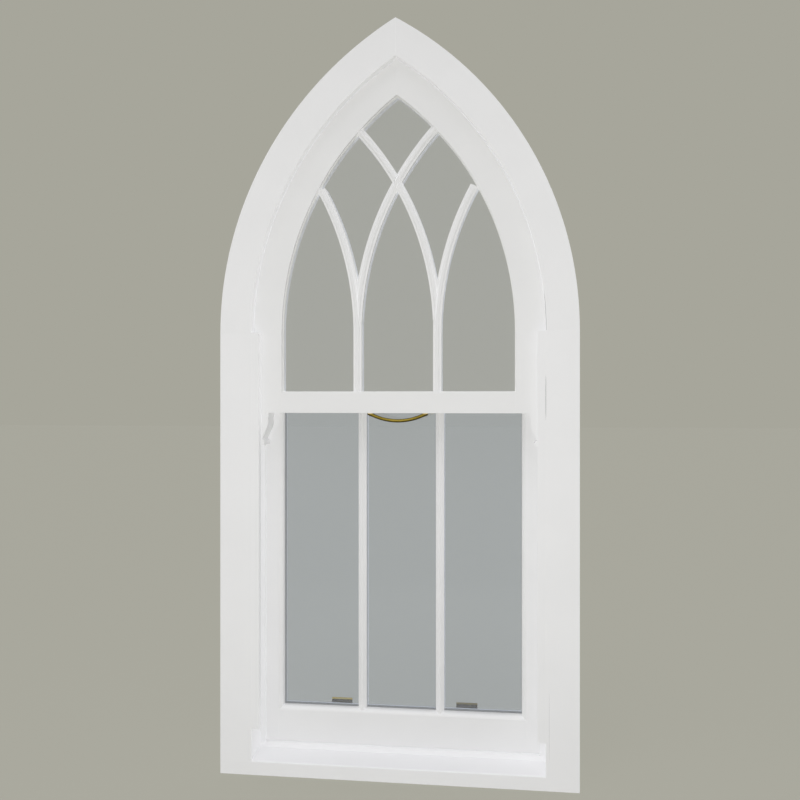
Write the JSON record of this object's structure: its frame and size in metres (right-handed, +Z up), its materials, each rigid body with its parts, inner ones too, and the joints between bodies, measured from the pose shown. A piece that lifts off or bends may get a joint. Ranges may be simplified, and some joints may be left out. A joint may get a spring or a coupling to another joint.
{
  "type": "arched top window frame",
  "caption": "White timber window with a pointed arch head, sliding upper and lower sashes, interlaced glazing bars and brass handles.",
  "frame": {"origin": "centre of the sill's underside, midway through the frame's depth", "axes": "+Z up, +X to the right seen from outside, the outside face towards -Y"},
  "size_m": [0.9, 0.163, 1.8984],
  "materials": {
    "painted_timber": "satin white paint",
    "upper_panes": "clear",
    "lower_panes": "clear with a faint blue tint",
    "spacer_bar": "mill finish",
    "brass": "polished"
  },
  "bodies": {
    "root": {"back_lining_left": "painted_timber", "back_lining_right": "painted_timber", "bottom_rail": "painted_timber", "bow_handle": "brass", "head_core_left": "painted_timber", "head_core_right": "painted_timber", "inner_lining_head_left": "painted_timber", "inner_lining_head_right": "painted_timber", "inner_lining_left": "painted_timber", "inner_lining_right": "painted_timber", "lower_bar_left": "painted_timber", "lower_bar_right": "painted_timber", "lower_glass": "lower_panes", "lower_inner_bars": "painted_timber", "lower_meeting_rail": "painted_timber", "lower_spacer": "spacer_bar", "lower_stile_left": "painted_timber", "lower_stile_right": "painted_timber", "outer_lining_head_left": "painted_timber", "outer_lining_head_right": "painted_timber", "outer_lining_left": "painted_timber", "outer_lining_right": "painted_timber", "parting_bead_head_left": "painted_timber", "parting_bead_head_right": "painted_timber", "parting_bead_left": "painted_timber", "parting_bead_right": "painted_timber", "pulley_stile_left": "painted_timber", "pulley_stile_right": "painted_timber", "sash_lift_left": "brass", "sash_lift_right": "brass", "sill": "painted_timber", "staff_bead_head_left": "painted_timber", "staff_bead_head_right": "painted_timber", "staff_bead_left": "painted_timber", "staff_bead_right": "painted_timber", "staff_bead_sill": "painted_timber", "stop_bead_left": "painted_timber", "stop_bead_right": "painted_timber", "tracery_bar_left": "painted_timber", "tracery_bar_right": "painted_timber", "upper_glass": "upper_panes", "upper_head_left": "painted_timber", "upper_head_right": "painted_timber", "upper_inner_tracery": "painted_timber", "upper_meeting_rail": "painted_timber", "upper_mullion_left": "painted_timber", "upper_mullion_right": "painted_timber", "upper_spacer": "spacer_bar", "upper_stile_left": "painted_timber", "upper_stile_right": "painted_timber"}
  },
  "joints": []
}
